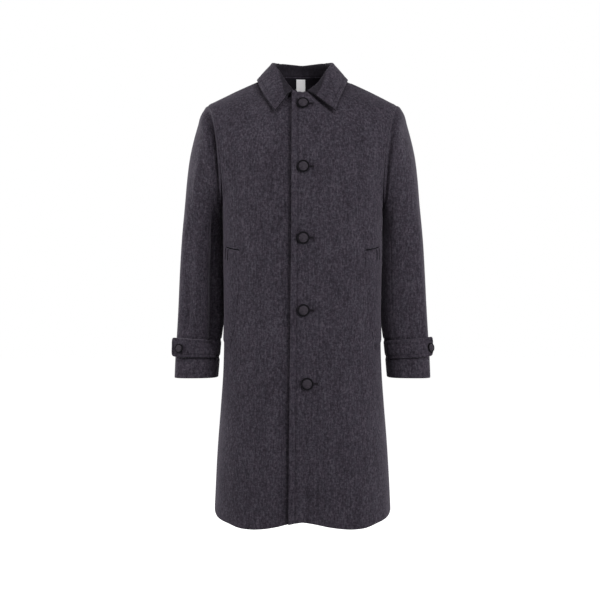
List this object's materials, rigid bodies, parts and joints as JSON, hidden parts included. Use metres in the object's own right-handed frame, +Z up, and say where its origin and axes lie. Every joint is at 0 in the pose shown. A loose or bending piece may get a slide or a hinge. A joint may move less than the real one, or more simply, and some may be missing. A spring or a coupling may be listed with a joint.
{
  "type": "single-breasted coat",
  "caption": "Knee-length single-breasted wool coat with pointed turn-down collar, buttoned front, slanted welt pockets and buttoned cuff straps, hollow and filled out as worn.",
  "frame": {"origin": "on the coat's centre line at the level of the side of the neck, where the coat rests on the wearer's shoulders", "axes": "+Z up along the coat's length, -Y out of the buttoned front, +X to the wearer's left"},
  "size_m": [0.6142, 0.3008, 1.0816],
  "materials": {
    "wool": "charcoal melange wool with a short nap",
    "lining": "dark smooth facing",
    "button": "dark, softly polished",
    "label": "plain white woven tape"
  },
  "bodies": {
    "root": {"front_left": "wool", "front_right": "wool", "back": "wool", "sleeve_left_top": "wool", "sleeve_left_under": "wool", "sleeve_right_top": "wool", "sleeve_right_under": "wool", "collar": "wool", "pocket_welt_left": "wool", "pocket_welt_right": "wool", "cuff_strap_left": "wool", "cuff_strap_right": "wool", "button_1": "button", "button_2": "button", "button_3": "button", "button_4": "button", "button_5": "button", "cuff_button_left": "button", "cuff_button_right": "button", "back_neck_facing": "lining", "neck_label": "label"}
  },
  "joints": []
}
